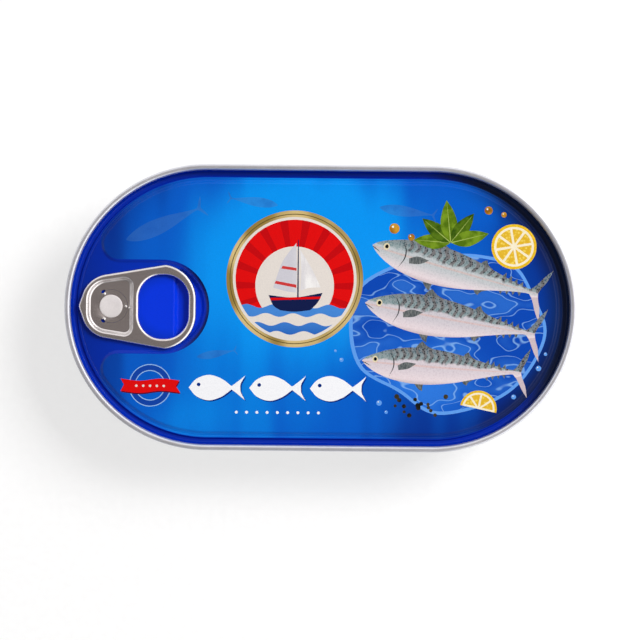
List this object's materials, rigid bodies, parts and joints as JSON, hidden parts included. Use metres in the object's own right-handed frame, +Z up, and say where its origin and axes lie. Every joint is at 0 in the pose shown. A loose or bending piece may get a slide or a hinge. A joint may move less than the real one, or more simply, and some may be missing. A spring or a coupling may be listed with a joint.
{
  "type": "tin of mackerel",
  "caption": "Shallow oval aluminium fish tin with a rolled seam and a printed full-panel lid that opens with a riveted ring-pull; it is shut and full, and stands flat on its base.",
  "frame": {"origin": "middle of the base, at the level the tin stands on", "axes": "+X along the length, away from the ring-pull; +Y across the width; +Z up through the lid"},
  "size_m": [0.149, 0.0834, 0.0255],
  "materials": {
    "bare_aluminium": "drawn and bright, clear lacquer",
    "printed_lid": "glossy lacquer over a blue print on aluminium sheet",
    "tab_aluminium": "satin"
  },
  "bodies": {
    "root": {"can_body": "bare_aluminium", "lid": "printed_lid", "ring_pull": "tab_aluminium"}
  },
  "joints": []
}
